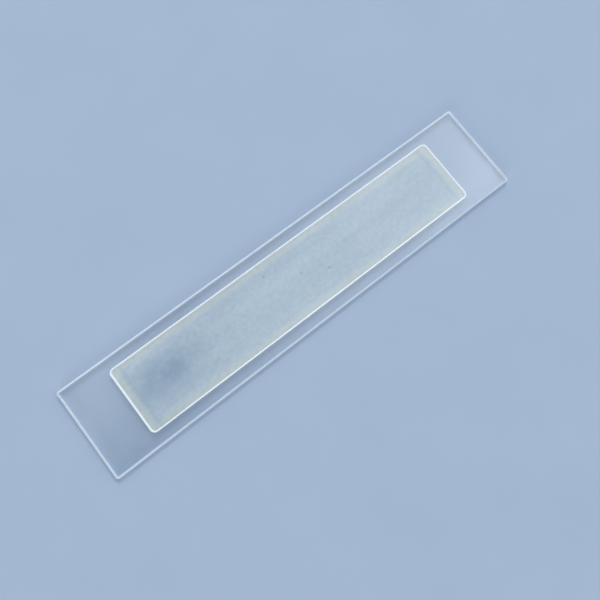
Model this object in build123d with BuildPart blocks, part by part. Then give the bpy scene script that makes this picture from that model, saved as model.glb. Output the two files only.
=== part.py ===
"""A counting slide with a shallow ground well, and the thin cover glass that closes it.

The origin is at the middle of the underside. X runs along the slide, Y across it and Z up.
All sizes are in millimetres.
"""

import os

from build123d import *

# Slide
slide_length = 75.0
slide_width = 15.0
slide_thickness = 1.0
slide_corner_radius = 0.4
slide_edge_seam = 0.25  # the 45 degree flat ground along every rim

# Well, ground into the slide's top face
well_end_margin = 7.4  # flat glass left at each short end
well_side_margin = 1.95  # flat glass left along each long side
well_depth = 0.3
well_lip_width = 0.2  # the bevel round the mouth of the well, measured inwards
well_lip_depth = 0.1  # and downwards
well_corner_radius = 0.8  # at the mouth; the bit itself is smaller by the lip
finish_pass_width = 1.2  # from the mouth of the well to the inner side of the last lap's band
finish_pass_depth = 0.03  # how much deeper that lap cuts than the rest of the floor

# Cover glass
cover_thickness = 0.17
cover_corner_radius = 0.4
cover_inset = 0.3  # how far the cover stands back from the slide's edge, clear of the seam

well_length = slide_length - 2 * well_end_margin
well_width = slide_width - 2 * well_side_margin
slide_top = Plane.XY.offset(slide_thickness)
well_floor = Plane.XY.offset(slide_thickness - well_depth)

os.makedirs("parts", exist_ok=True)

# Slide: one plate of clear glass, its rims seamed, with the well ground into its top face.
with BuildPart() as counting_slide:
    with BuildSketch():
        RectangleRounded(slide_length, slide_width, slide_corner_radius)
    extrude(amount=slide_thickness)
    rims = counting_slide.edges().group_by(Axis.Z)
    chamfer(rims[0] + rims[-1], length=slide_edge_seam)

    with BuildSketch(slide_top):
        RectangleRounded(
            well_length - 2 * well_lip_width,
            well_width - 2 * well_lip_width,
            well_corner_radius - well_lip_width,
        )
    extrude(amount=-well_depth, mode=Mode.SUBTRACT)
    top_face = counting_slide.faces().sort_by(Axis.Z)[-1]
    mouth = top_face.inner_wires()[0].edges()
    chamfer(mouth, length=well_lip_width, length2=well_lip_depth, reference=top_face)

    # The last lap round the wall leaves a slightly deeper band.
    with BuildSketch(well_floor):
        floor_outline = RectangleRounded(
            well_length - 2 * well_lip_width,
            well_width - 2 * well_lip_width,
            well_corner_radius - well_lip_width,
        )
        offset(floor_outline, amount=well_lip_width - finish_pass_width, mode=Mode.SUBTRACT)
    extrude(amount=-finish_pass_depth, mode=Mode.SUBTRACT)

counting_slide.part.label = "counting_slide"
export_step(counting_slide.part, "parts/counting_slide.step")

# Cover glass: a thin cut sheet that lies on the flat glass round the well.
with BuildPart() as cover_glass:
    with BuildSketch(slide_top):
        RectangleRounded(
            slide_length - 2 * cover_inset,
            slide_width - 2 * cover_inset,
            cover_corner_radius,
        )
    extrude(amount=cover_thickness)

cover_glass.part.label = "cover_glass"
export_step(cover_glass.part, "parts/cover_glass.step")
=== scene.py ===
"""A counting slide with a frosted well, closed by its cover glass, on a pale bench top.

Lengths are in metres. X runs along the slide, Y across it and Z up.
"""

import math
from collections import namedtuple

import bmesh
import bpy
from mathutils import Euler, Matrix, Vector, noise


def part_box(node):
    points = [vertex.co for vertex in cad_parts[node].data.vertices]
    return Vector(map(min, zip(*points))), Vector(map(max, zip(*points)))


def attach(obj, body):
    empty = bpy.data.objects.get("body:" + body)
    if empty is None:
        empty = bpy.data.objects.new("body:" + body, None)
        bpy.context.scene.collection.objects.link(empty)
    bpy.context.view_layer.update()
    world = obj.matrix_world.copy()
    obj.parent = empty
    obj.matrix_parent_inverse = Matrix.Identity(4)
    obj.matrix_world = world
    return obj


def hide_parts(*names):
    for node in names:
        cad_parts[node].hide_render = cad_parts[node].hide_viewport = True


MM = 0.001

# Slide
RIM_SEAM = 0.25 * MM  # the flat ground at 45 degrees along each rim
SLIDE_CORNER = 0.4 * MM
WELL_END_MARGIN = 7.4 * MM
WELL_SIDE_MARGIN = 1.95 * MM
WELL_DEPTH = 0.3 * MM
WELL_CORNER = 0.8 * MM
SMALLEST_CORNER = 0.05 * MM  # for the rings so far in that nothing is left of the well's corner
LIP_WIDTH = 0.2 * MM  # the worn lip round the mouth of the well
LIP_DEPTH = 0.1 * MM
LIP_BEND_IN = 0.75  # where the lip turns down, as a share of its width
LIP_BEND_DOWN = 0.15  # and of its depth
WALL_FOOT = 0.05 * MM  # the small bevel where the wall meets the floor
LAP_WIDTH = 1.2 * MM  # the band that the last lap of the bit leaves inside the wall
LAP_DEPTH = 0.03 * MM
LAP_SLOPE = 0.5 * MM  # how wide the step is between that band and the rest of the floor
RIM_WANDER = 0.02 * MM  # how far a ground edge strays from a straight line
WANDER_PITCH = 0.9  # how many times it strays and returns in a millimetre

# Cover glass
COVER_CORNER = 0.4 * MM
COVER_NICK = 0.02 * MM  # the small bevel that cutting leaves along its edges
COVER_FILM = 0.01 * MM  # the air film between the slide and the cover glass

# Fineness of the meshes
CORNER_STEPS = 10
LONG_CUTS = 240
SHORT_CUTS = 44

# Marks in the well, in millimetres from the middle of the slide
SPECKS = ((-4.0, 3.4, 0.3), (5.0, -1.5, 0.36), (1.0, 0.4, 0.2))  # along, across, radius
SPECK_STRENGTH = 0.75
DULL_PATCH = (-23.5, 0.6, 9.5, 4.6)  # along, across, half its length, half its width

# Marks beside the wall, in millimetres in from it: the band's cream with its painted glow, and a line
# of painted shade
# The band's cream is painted lighter than the rest of the floor: a painted glow for light piped in
# from the lit wall
CREAM_AND_GLOW_FADE = (1.1, 2.2)  # where the last lap's cream starts to fade, and where it is gone
CREAM_AND_GLOW_UNEVEN = 0.9  # how far the edge of the cream strays
# Painted shade: a darker line at the two ends, on the step up from the band to the floor
PAINTED_STEP_SHADE_SPAN = (1.2, 1.6, 2.3)  # at the two ends: where the darker line starts, is darkest and ends
PAINTED_STEP_SHADE_STRENGTH = 0.3

# Textures: how many spots there are to a metre
WIPE_GRAIN = 260
RIM_STRETCHES = 900
RIM_PITS = 6000
STREAK_GRAIN = 700
CLOUD_GRAIN = 140
MOTTLE_GRAIN = 1300
PIT_GRAIN = 9000
WORN_GRAIN = 420
CREAM_AND_GLOW_GRAIN = 600
BENCH_GRAIN = 60

STREAK_WEIGHT = 0.35  # how much each texture adds to the light and dark of a frosted face
CLOUD_WEIGHT = 0.25
MOTTLE_WEIGHT = 0.4

WIPE_SLANT = math.radians(35)  # how far the wipe marks lean from the slide's length
WIPE_STRETCH = 5  # how much longer a wipe mark is than its width
WIPE_SPREAD = (0.45, 0.75)  # the part of the texture that shows as a mark
WIPE_ROUGHNESS = 0.05
RIM_PIT_DEPTH = 0.02 * MM
FROST_PIT_DEPTH = 0.03 * MM

# How light meets the glass
GLASS_IOR = 1.52
RIM_ROUGHNESS = 0.45
RIM_CLEARNESS = 0.05  # how much of the light goes through a ground face clean
FLOOR_CLEARNESS = 0.12
WALL_CLEARNESS = 0.0
RIM_GLOW = 0.2  # how much of the lamplight a ground face lets straight through
FROST_GLOW = 0.5
RIM_SOAK = 0.45  # and how much of its brightness soaks through from its other side
WALL_SOAK = 0.12

# Colours, as amounts of red, green and blue light
SLIDE_TINT = (0.985, 0.993, 1.0, 1)
SLIDE_SMUDGE = (0.955, 0.97, 0.98, 1)
COVER_TINT = (0.99, 0.996, 1.0, 1)
COVER_SMUDGE = (0.97, 0.98, 0.99, 1)
PASSING_TINT = (0.965, 0.975, 0.98, 1)  # of the lamplight that has gone through the glass
RIM_DULL = (0.84, 0.93, 1.0, 1)
RIM_BRIGHT = (0.94, 0.98, 1.0, 1)
WALL_DULL = (0.9, 0.94, 0.96, 1)
WALL_BRIGHT = (0.96, 0.98, 0.99, 1)
FROST_DEEP = (0.375, 0.47, 0.565, 1)
FROST_PALE = (0.46, 0.56, 0.64, 1)
# the band's cream, painted lighter as glow from the lit wall
CREAM_AND_GLOW_DEEP = (0.46, 0.53, 0.545, 1)
CREAM_AND_GLOW_PALE = (0.54, 0.605, 0.62, 1)
DULL_BLUE = (0.225, 0.325, 0.445, 1)
# painted shade for the line on the step at the well's two ends
PAINTED_STEP_SHADE = (0.31, 0.40, 0.475, 1)
SPECK_SHADE = (0.20, 0.25, 0.30, 1)
BENCH_DEEP = (0.33, 0.415, 0.55, 1)
BENCH_PALE = (0.345, 0.43, 0.565, 1)
SKY_TINT = (0.92, 0.96, 1.0, 1)
BACKDROP_TINT = (0.62, 0.68, 0.76, 1)

# Camera
LENS = 33.98  # in millimetres, as the sensor is
SENSOR = 36.0
NEAREST_SEEN = 1 * MM
LOOK_AT = Vector((-1.82, -2.77, 1.0)) * MM
CAMERA_DISTANCE = 84.75 * MM
CAMERA_HEADING = math.radians(-60.2)  # which way the view runs over the bench, from +Y
CAMERA_DIP = math.radians(77.8)  # how steeply it looks down
CAMERA_ROLL = math.radians(22.7)

# Bench
FLOOR_DROP = 0.05 * MM  # the air film between the bench and the glass
FLOOR_SIZE = 1.2

# Lamps
Lamp = namedtuple("Lamp", "name place width height watts")
LAMPS = (
    Lamp("window", (0.38, 0.5, 0.8), 0.33, 0.33, 4.0),
    Lamp("fill", (-0.62, -0.5, 0.3), 0.4, 0.3, 2.5),
)

# The room's soft sky. Each ramp is two heights or distances to a side, where straight up or
# straight to that side is 1, and the strength at each of them.
WINDOW_SIDE = (0.9, 0.35, 0.0)  # towards the window
BEAM_SIDE = (-0.6, 0.8, 0.0)  # square to the dimmer strip that crosses the ceiling
WINDOW_RAMP = (-0.35, 0.65, 0.05, 1.22)  # brighter towards the window
WINDOW_FADE = (0.1, 0.7, 0.45, 1.0)  # and weaker low down
CEILING_RAMP = (0.17, 0.27, 0.0, 0.4)  # added on both sides of the dimmer strip
CEILING_FADE = (0.2, 0.7, 0.0, 1.0)  # but not low down
WALL_RAMP = (0.1, 0.6, 0.35, 0.0)  # the pale walls, low down


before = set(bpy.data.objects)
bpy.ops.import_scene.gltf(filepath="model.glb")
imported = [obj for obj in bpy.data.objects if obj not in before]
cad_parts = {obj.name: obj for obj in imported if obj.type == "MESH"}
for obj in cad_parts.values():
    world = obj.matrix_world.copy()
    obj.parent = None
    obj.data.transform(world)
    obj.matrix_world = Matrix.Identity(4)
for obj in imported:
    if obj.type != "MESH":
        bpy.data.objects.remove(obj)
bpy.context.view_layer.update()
slide_low, slide_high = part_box("counting_slide")
cover_low, cover_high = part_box("cover_glass")


# Materials


class Shader:
    """A material's node tree, with short calls for the nodes that the finishes here use."""

    def __init__(self, name):
        self.material = bpy.data.materials.new(name)
        self.material.use_nodes = True
        self.tree = self.material.node_tree
        self.tree.nodes.clear()
        self.output = self.add("ShaderNodeOutputMaterial")
        self.place = self.add("ShaderNodeTexCoord").outputs["Object"]

    def add(self, kind, **settings):
        node = self.tree.nodes.new(kind)
        for name, value in settings.items():
            setattr(node, name, value)
        return node

    def join(self, source, target):
        self.tree.links.new(source, target)

    def feed(self, socket, value):
        """Sets a socket to a plain value, or links it if value is another node's output."""
        if isinstance(value, bpy.types.NodeSocket):
            self.join(value, socket)
        else:
            socket.default_value = value

    def principled(self, **values):
        node = self.add("ShaderNodeBsdfPrincipled")
        for name, value in values.items():
            self.feed(node.inputs[name.replace("_", " ")], value)
        return node

    def maths(self, operation, *values):
        node = self.add("ShaderNodeMath", operation=operation)
        for socket, value in zip(node.inputs, values):
            self.feed(socket, value)
        return node.outputs[0]

    def stretched(self, scale, shift=(0, 0, 0)):
        """Object coordinates multiplied by scale, then shifted."""
        node = self.add("ShaderNodeMapping")
        node.inputs["Scale"].default_value = scale
        node.inputs["Location"].default_value = shift
        self.join(self.place, node.inputs["Vector"])
        return node.outputs[0]

    def smeared(self, turn, length):
        """Object coordinates turned about Z, then drawn out lengthways, for marks that run aslant."""
        node = self.add("ShaderNodeMapping", vector_type="TEXTURE")
        node.inputs["Rotation"].default_value = (0, 0, turn)
        node.inputs["Scale"].default_value = (length, 1, 1)
        self.join(self.place, node.inputs["Vector"])
        return node.outputs[0]

    def grain(self, scale, detail, roughness=0.5, vector=None):
        """An uneven texture with this many spots to a metre, mostly between 0.3 and 0.7."""
        node = self.add("ShaderNodeTexNoise")
        node.inputs["Scale"].default_value = scale
        node.inputs["Detail"].default_value = detail
        node.inputs["Roughness"].default_value = roughness
        self.join(vector or self.place, node.inputs["Vector"])
        return node.outputs["Fac"]

    def ranged(self, value, low, high, to_low=0.0, to_high=1.0, smooth=False):
        """Turns low and what is under it into to_low, and high and what is over it into to_high."""
        kind = "SMOOTHSTEP" if smooth else "LINEAR"
        node = self.add("ShaderNodeMapRange", interpolation_type=kind, clamp=True)
        self.feed(node.inputs["Value"], value)
        for name, number in (
            ("From Min", low),
            ("From Max", high),
            ("To Min", to_low),
            ("To Max", to_high),
        ):
            node.inputs[name].default_value = number
        return node.outputs["Result"]

    def blended(self, share, first, second):
        """The first colour where share is 0, and the second where it is 1."""
        node = self.add("ShaderNodeMix", data_type="RGBA")
        self.feed(node.inputs["Factor"], share)
        self.feed(node.inputs["A"], first)
        self.feed(node.inputs["B"], second)
        return node.outputs["Result"]

    def bump(self, height, strength, distance):
        node = self.add("ShaderNodeBump")
        node.inputs["Strength"].default_value = strength
        node.inputs["Distance"].default_value = distance
        self.join(height, node.inputs["Height"])
        return node.outputs["Normal"]


def lamps_pass(shader, glass, share=1.0):
    """Lets this share of the lamplight straight through the glass, as a thin sheet does."""
    path = shader.add("ShaderNodeLightPath")
    lamp_rays = shader.maths("MAXIMUM", path.outputs["Is Shadow Ray"], path.outputs["Is Diffuse Ray"])
    if share < 1.0:
        lamp_rays = shader.maths("MULTIPLY", lamp_rays, share)
    clear = shader.add("ShaderNodeBsdfTransparent")
    clear.inputs["Color"].default_value = PASSING_TINT
    mix = shader.add("ShaderNodeMixShader")
    shader.join(lamp_rays, mix.inputs["Fac"])
    shader.join(glass, mix.inputs[1])
    shader.join(clear.outputs[0], mix.inputs[2])
    shader.join(mix.outputs[0], shader.output.inputs["Surface"])


def lit_through(shader, surface, colour, share):
    """Gives a ground face the light that soaks through it from its other side."""
    soak = shader.add("ShaderNodeBsdfTranslucent")
    shader.feed(soak.inputs["Color"], colour)
    mix = shader.add("ShaderNodeMixShader")
    mix.inputs["Fac"].default_value = share
    shader.join(surface.outputs[0], mix.inputs[1])
    shader.join(soak.outputs[0], mix.inputs[2])
    return mix.outputs[0]


def clear_glass(name, tint, smudge):
    """Polished glass, with the faint slanting smears that wiping leaves."""
    shader = Shader(name)
    wipes = shader.grain(WIPE_GRAIN, 4, 0.6, shader.smeared(WIPE_SLANT, WIPE_STRETCH))
    smears = shader.ranged(wipes, *WIPE_SPREAD, smooth=True)
    glass = shader.principled(
        Base_Color=shader.blended(smears, tint, smudge),
        Roughness=shader.ranged(wipes, *WIPE_SPREAD, 0.0, WIPE_ROUGHNESS),
        IOR=GLASS_IOR,
        Transmission_Weight=1.0,
    )
    lamps_pass(shader, glass.outputs[0])
    return shader.material


def ground_rim(name):
    """Seamed glass edge: white and rough, with brighter and duller stretches."""
    shader = Shader(name)
    stretches = shader.ranged(shader.grain(RIM_STRETCHES, 5, 0.7), 0.3, 0.7)
    colour = shader.blended(stretches, RIM_DULL, RIM_BRIGHT)
    glass = shader.principled(
        Base_Color=colour,
        Roughness=RIM_ROUGHNESS,
        IOR=GLASS_IOR,
        Transmission_Weight=RIM_CLEARNESS,
        Normal=shader.bump(shader.grain(RIM_PITS, 2), 0.4, RIM_PIT_DEPTH),
    )
    lamps_pass(shader, lit_through(shader, glass, colour, RIM_SOAK), RIM_GLOW)
    return shader.material


def near(shader, x, y, half_length, half_width):
    """1 at a place on the slide, given in millimetres, fading to 0 at the edge of an oval round it."""
    scale = (1 / (half_length * MM), 1 / (half_width * MM), 0)
    shift = (-x / half_length, -y / half_width, 0)
    length = shader.add("ShaderNodeVectorMath", operation="LENGTH")
    shader.join(shader.stretched(scale, shift), length.inputs[0])
    return shader.ranged(length.outputs["Value"], 0.0, 1.0, 1.0, 0.0, smooth=True)


def ground_tone(shader):
    """The light and dark of a frosted face, and the streaks along the slide that are part of it.

    The streaks are where the bit passed back and forth. Soft clouds and a fine mottle lie over them.
    """
    streaks = shader.grain(STREAK_GRAIN, 5, 0.7, shader.stretched((0.05, 1.0, 1.0)))
    clouds = shader.grain(CLOUD_GRAIN, 3, 0.55, shader.stretched((0.5, 1.0, 1.0), (3.1, 0.7, 0)))
    mottle = shader.grain(MOTTLE_GRAIN, 4, 0.65)
    tone = shader.maths("MULTIPLY", streaks, STREAK_WEIGHT)
    tone = shader.maths("MULTIPLY_ADD", clouds, CLOUD_WEIGHT, tone)
    tone = shader.maths("MULTIPLY_ADD", mottle, MOTTLE_WEIGHT, tone)
    return shader.ranged(tone, 0.42, 0.58), streaks


def ground_surface(shader, colour, streaks, clearness, soak=0.0):
    """Finishes a frosted face: some light goes through it clean, and some soaks through."""
    pits = shader.grain(PIT_GRAIN, 2)
    glass = shader.principled(
        Base_Color=colour,
        Roughness=shader.ranged(pits, 0.3, 0.7, 0.5, 0.7),
        IOR=GLASS_IOR,
        Transmission_Weight=clearness,
        Normal=shader.bump(shader.maths("ADD", pits, streaks), 0.35, FROST_PIT_DEPTH),
    )
    face = lit_through(shader, glass, colour, soak) if soak else glass.outputs[0]
    lamps_pass(shader, face, FROST_GLOW)
    return shader.material


def from_wall(shader, half_length, half_width):
    """How far in from the well's wall a place is, in millimetres, and how far from its two ends."""
    parts = shader.add("ShaderNodeSeparateXYZ")
    shader.join(shader.stretched((1 / MM, 1 / MM, 1 / MM)), parts.inputs[0])
    gaps = []
    for part, reach in ((parts.outputs["X"], half_length), (parts.outputs["Y"], half_width)):
        out = shader.maths("ABSOLUTE", part)
        gaps.append(shader.maths("SUBTRACT", reach / MM, out))
    return shader.maths("MINIMUM", gaps[0], gaps[1]), gaps[0]


def well_floor(half_length, half_width):
    """The frosted floor: creamier where the last lap ran and painted lighter there as glow, with a
    line of painted shade at each end, a dull patch and a few specks.
    """
    shader = Shader("well_floor")
    tone, streaks = ground_tone(shader)
    colour = shader.blended(tone, FROST_DEEP, FROST_PALE)
    worn = shader.ranged(shader.grain(WORN_GRAIN, 4, 0.65), 0.35, 0.65, 0.45, 0.95)
    dull = shader.maths("MULTIPLY", near(shader, *DULL_PATCH), worn)
    colour = shader.blended(dull, colour, DULL_BLUE)

    to_wall, to_end = from_wall(shader, half_length, half_width)
    # The band inside the wall: creamier, and painted lighter as glow from the lit wall
    stray = shader.grain(CREAM_AND_GLOW_GRAIN, 3, 0.6)
    uneven = shader.maths("MULTIPLY_ADD", stray, CREAM_AND_GLOW_UNEVEN, to_wall)
    lap = shader.ranged(uneven, *CREAM_AND_GLOW_FADE, 1.0, 0.0, smooth=True)
    colour = shader.blended(lap, colour, shader.blended(tone, CREAM_AND_GLOW_DEEP, CREAM_AND_GLOW_PALE))

    # The darker line at each end is painted shade, on the step where the band rises to the floor
    start, darkest, end = PAINTED_STEP_SHADE_SPAN
    before = shader.ranged(to_end, start, darkest, smooth=True)
    after = shader.ranged(to_end, darkest, end, 1.0, 0.0, smooth=True)
    turn = shader.maths("MULTIPLY", shader.maths("MULTIPLY", before, after), PAINTED_STEP_SHADE_STRENGTH)
    colour = shader.blended(turn, colour, PAINTED_STEP_SHADE)

    for x, y, radius in SPECKS:
        speck = shader.maths("MULTIPLY", near(shader, x, y, radius, radius), SPECK_STRENGTH)
        colour = shader.blended(speck, colour, SPECK_SHADE)
    return ground_surface(shader, colour, streaks, FLOOR_CLEARNESS)


def well_wall():
    """The bright frosted wall and lip."""
    shader = Shader("well_wall")
    tone, streaks = ground_tone(shader)
    colour = shader.blended(tone, WALL_DULL, WALL_BRIGHT)
    return ground_surface(shader, colour, streaks, WALL_CLEARNESS, WALL_SOAK)


def bench_top():
    """A plain pale board, all but even."""
    shader = Shader("bench_top")
    mottle = shader.ranged(shader.grain(BENCH_GRAIN, 4, 0.6), 0.3, 0.7)
    colour = shader.blended(mottle, BENCH_DEEP, BENCH_PALE)
    board = shader.principled(Base_Color=colour, Roughness=0.8)
    shader.join(board.outputs[0], shader.output.inputs["Surface"])
    return shader.material


# Shapes


Ring = namedtuple("Ring", "length width corner height")  # a level round-cornered rectangle


def outline(bm, ring):
    """Adds the rim of a round-cornered rectangle, lying flat, and returns its edges."""
    steps = 4 * CORNER_STEPS
    rim = bmesh.ops.create_circle(bm, radius=ring.corner, segments=steps)["verts"]
    half_step = Matrix.Rotation(math.pi / steps, 3, "Z")
    bmesh.ops.rotate(bm, verts=rim, cent=(0, 0, 0), matrix=half_step)
    for side in (-1, 1):
        ends = [v for v in rim if v.co.x * side > 0]
        run = side * (ring.length / 2 - ring.corner)
        bmesh.ops.translate(bm, vec=(run, 0, 0), verts=ends)
        flanks = [v for v in rim if v.co.y * side > 0]
        run = side * (ring.width / 2 - ring.corner)
        bmesh.ops.translate(bm, vec=(0, run, 0), verts=flanks)
    # The turned circle's flats stop just short of its radius, so the rim is drawn out to full size.
    reach = Vector((max(v.co.x for v in rim), max(v.co.y for v in rim)))
    grow = (ring.length / 2 / reach.x, ring.width / 2 / reach.y, 1)
    bmesh.ops.scale(bm, vec=grow, verts=rim)
    bmesh.ops.translate(bm, vec=(0, 0, ring.height), verts=rim)
    runs = sorted(bm.edges, key=lambda e: e.calc_length(), reverse=True)
    bmesh.ops.subdivide_edges(bm, edges=runs[:2], cuts=LONG_CUTS)
    bmesh.ops.subdivide_edges(bm, edges=runs[2:4], cuts=SHORT_CUTS)
    return list(bm.edges)


def refit(place, old_half, old_corner, new_half, new_corner):
    """Moves a place on an old outline to the new one: runs stretch, and corners keep their arcs."""
    old_run, new_run = old_half - old_corner, new_half - new_corner
    past = abs(place) - old_run
    if past <= 0:
        return place * new_run / old_run
    return math.copysign(new_run + past * new_corner / old_corner, place)


def stack(bm, first, bands, closing):
    """Grows a closed skin: the first ring, a band up or in to each next ring, and the closing face.

    bands holds (ring, finish of the band that leads to it), and both end faces take closing.
    """
    edges = outline(bm, first)
    ends = [(edges, closing[0])]
    old = first
    for ring, finish in bands:
        made = bmesh.ops.extrude_edge_only(bm, edges=edges)["geom"]
        verts = {g for g in made if isinstance(g, bmesh.types.BMVert)}
        edges = [g for g in made if isinstance(g, bmesh.types.BMEdge) and verts.issuperset(g.verts)]
        for vert in verts:
            x, y, _ = vert.co
            x = refit(x, old.length / 2, old.corner, ring.length / 2, ring.corner)
            y = refit(y, old.width / 2, old.corner, ring.width / 2, ring.corner)
            vert.co = (x, y, ring.height)
        for face in (g for g in made if isinstance(g, bmesh.types.BMFace)):
            face.material_index = finish
        old = ring
    ends.append((edges, closing[1]))
    for loop, finish in ends:
        for face in bmesh.ops.edgeloop_fill(bm, edges=loop)["faces"]:
            face.material_index = finish
    bmesh.ops.recalc_face_normals(bm, faces=bm.faces)


def wander(verts, amount):
    """Lets ground edges stray a little from a straight line, inwards only."""
    for vert in verts:
        pitch = vert.co * WANDER_PITCH / MM
        inwards = amount * (0.5 + 0.5 * noise.noise((pitch.x, pitch.y, 0)))
        vert.co.x -= math.copysign(min(inwards, abs(vert.co.x)), vert.co.x)
        vert.co.y -= math.copysign(min(inwards, abs(vert.co.y)), vert.co.y)


def finished(name, bm, materials, body, node):
    """Makes the piece, puts it on the body it rides on, and hides the node it stands for."""
    mesh = bpy.data.meshes.new(name)
    bm.to_mesh(mesh)
    bm.free()
    piece = bpy.data.objects.new(name, mesh)
    bpy.context.scene.collection.objects.link(piece)
    for material in materials:
        mesh.materials.append(material)
    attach(piece, body)
    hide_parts(node)


def make_slide():
    """The slide: seamed rims, a lipped well, and the slightly deeper band inside the well's wall."""
    length = slide_high.x - slide_low.x
    width = slide_high.y - slide_low.y
    top = slide_high.z
    well_length = length - 2 * WELL_END_MARGIN
    well_width = width - 2 * WELL_SIDE_MARGIN
    floor = top - WELL_DEPTH
    clear, rim, wall, frosted_floor = range(4)

    def well(inset, height):
        corner = max(WELL_CORNER - inset, SMALLEST_CORNER)
        return Ring(well_length - 2 * inset, well_width - 2 * inset, corner, height)

    def plate(inset, height):
        return Ring(length - 2 * inset, width - 2 * inset, SLIDE_CORNER - inset, height)

    bands = [
        (plate(0, slide_low.z + RIM_SEAM), rim),
        (plate(0, top - RIM_SEAM), rim),
        (plate(RIM_SEAM, top), rim),
        (well(0, top), clear),
        (well(LIP_WIDTH * LIP_BEND_IN, top - LIP_DEPTH * LIP_BEND_DOWN), wall),
        (well(LIP_WIDTH, top - LIP_DEPTH), wall),
        (well(LIP_WIDTH, floor - LAP_DEPTH + WALL_FOOT), wall),
        (well(LIP_WIDTH + WALL_FOOT, floor - LAP_DEPTH), wall),
        (well(LAP_WIDTH, floor - LAP_DEPTH), frosted_floor),
        (well(LAP_WIDTH + LAP_SLOPE, floor), frosted_floor),
    ]
    bm = bmesh.new()
    stack(bm, plate(RIM_SEAM, slide_low.z), bands, (clear, frosted_floor))

    # Only the plate's own rims stray, so whatever is within a millimetre of the well stays.
    reach_x = well_length / 2 + MM
    reach_y = well_width / 2 + MM
    rims = [v for v in bm.verts if abs(v.co.x) > reach_x or abs(v.co.y) > reach_y]
    wander(rims, RIM_WANDER)
    materials = [
        clear_glass("slide_clear", SLIDE_TINT, SLIDE_SMUDGE),
        ground_rim("slide_rim"),
        well_wall(),
        well_floor(well_length / 2, well_width / 2),
    ]
    finished("slide_glass", bm, materials, "slide", "counting_slide")


def make_cover():
    """The cover glass: a thin sheet with cut edges, an air film above the slide."""
    length = cover_high.x - cover_low.x
    width = cover_high.y - cover_low.y
    top = cover_high.z
    underside = cover_low.z + COVER_FILM
    clear, rim = range(2)

    def sheet(inset, height):
        return Ring(length - 2 * inset, width - 2 * inset, COVER_CORNER - inset, height)

    bands = [
        (sheet(0, underside + COVER_NICK), rim),
        (sheet(0, top - COVER_NICK), rim),
        (sheet(COVER_NICK, top), rim),
    ]
    bm = bmesh.new()
    stack(bm, sheet(COVER_NICK, underside), bands, (clear, clear))
    materials = [
        clear_glass("cover_clear", COVER_TINT, COVER_SMUDGE),
        ground_rim("cover_rim"),
    ]
    finished("cover_sheet", bm, materials, "cover", "cover_glass")


# Studio


def make_floor():
    """The bench top that the slide lies on."""
    bm = bmesh.new()
    bmesh.ops.create_grid(bm, x_segments=1, y_segments=1, size=FLOOR_SIZE / 2)
    bmesh.ops.translate(bm, vec=(0, 0, slide_low.z - FLOOR_DROP), verts=bm.verts)
    mesh = bpy.data.meshes.new("bench")
    bm.to_mesh(mesh)
    bm.free()
    mesh.materials.append(bench_top())
    bench = bpy.data.objects.new("bench", mesh)
    bpy.context.scene.collection.objects.link(bench)


def softbox(lamp):
    """A soft rectangular light that faces the slide. The glass shows the room, and not the light."""
    light = bpy.data.lights.new(lamp.name, "AREA")
    light.shape = "RECTANGLE"
    light.size = lamp.width
    light.size_y = lamp.height
    light.energy = lamp.watts
    box = bpy.data.objects.new(lamp.name, light)
    box.location = lamp.place
    box.rotation_euler = (-Vector(lamp.place)).to_track_quat("-Z", "Y").to_euler()
    box.visible_glossy = False
    box.visible_transmission = False
    bpy.context.scene.collection.objects.link(box)


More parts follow.
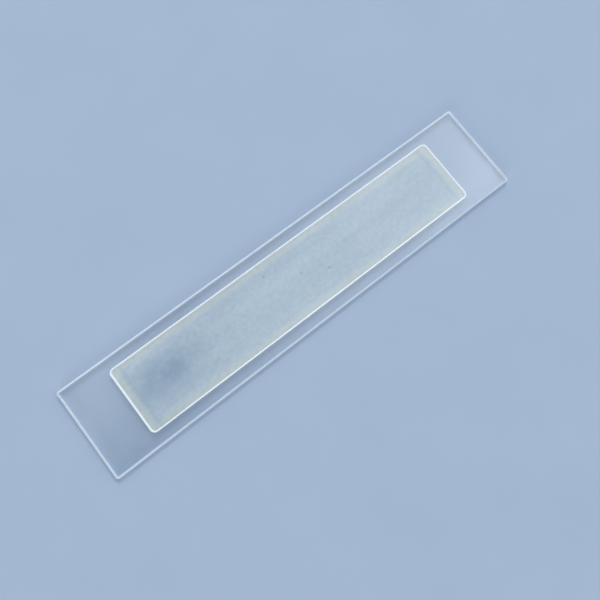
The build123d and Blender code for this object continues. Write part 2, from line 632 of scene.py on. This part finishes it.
def light_room():
    """A soft sky that is brighter towards the window, a plain backdrop, and the lamps."""
    world = bpy.data.worlds.new("room")
    world.use_nodes = True
    tree = world.node_tree
    place = tree.nodes.new("ShaderNodeTexCoord").outputs["Generated"]

    def along(side):
        node = tree.nodes.new("ShaderNodeVectorMath")
        node.operation = "DOT_PRODUCT"
        node.inputs[1].default_value = side
        tree.links.new(place, node.inputs[0])
        return node.outputs["Value"]

    def maths(operation, *values):
        node = tree.nodes.new("ShaderNodeMath")
        node.operation = operation
        for value, socket in zip(values, node.inputs):
            tree.links.new(value, socket)
        return node.outputs[0]

    def ramp(value, low, high, to_low, to_high):
        node = tree.nodes.new("ShaderNodeMapRange")
        node.interpolation_type = "SMOOTHSTEP"
        tree.links.new(value, node.inputs["Value"])
        for socket, number in zip(node.inputs[1:5], (low, high, to_low, to_high)):
            socket.default_value = number
        return node.outputs["Result"]

    height = along((0, 0, 1))
    window = maths("MULTIPLY", ramp(along(WINDOW_SIDE), *WINDOW_RAMP), ramp(height, *WINDOW_FADE))
    from_beam = maths("ABSOLUTE", along(BEAM_SIDE))
    ceiling = maths("MULTIPLY", ramp(from_beam, *CEILING_RAMP), ramp(height, *CEILING_FADE))
    walls = ramp(height, *WALL_RAMP)
    sky = tree.nodes["Background"]
    sky.inputs["Color"].default_value = SKY_TINT
    strength = maths("ADD", maths("ADD", window, ceiling), walls)
    tree.links.new(strength, sky.inputs["Strength"])

    backdrop = tree.nodes.new("ShaderNodeBackground")
    backdrop.inputs["Color"].default_value = BACKDROP_TINT
    mix = tree.nodes.new("ShaderNodeMixShader")
    path = tree.nodes.new("ShaderNodeLightPath")
    tree.links.new(path.outputs["Is Camera Ray"], mix.inputs["Fac"])
    tree.links.new(sky.outputs[0], mix.inputs[1])
    tree.links.new(backdrop.outputs[0], mix.inputs[2])
    tree.links.new(mix.outputs[0], tree.nodes["World Output"].inputs["Surface"])
    bpy.context.scene.world = world
    bpy.context.scene.view_settings.view_transform = "Standard"
    for lamp in LAMPS:
        softbox(lamp)


def place_camera():
    """The camera, leaning over the slide and turned a little about its own line of sight."""
    data = bpy.data.cameras.new("camera")
    data.lens = LENS
    data.sensor_width = SENSOR
    data.clip_start = NEAREST_SEEN
    camera = bpy.data.objects.new("camera", data)
    turn = Euler((math.pi / 2 - CAMERA_DIP, 0, CAMERA_HEADING)).to_matrix()
    turn = turn @ Euler((0, 0, CAMERA_ROLL)).to_matrix()
    camera.rotation_euler = turn.to_euler()
    camera.location = LOOK_AT + turn @ Vector((0, 0, CAMERA_DISTANCE))
    bpy.context.scene.collection.objects.link(camera)
    bpy.context.scene.camera = camera


make_slide()
make_cover()
make_floor()
light_room()
place_camera()
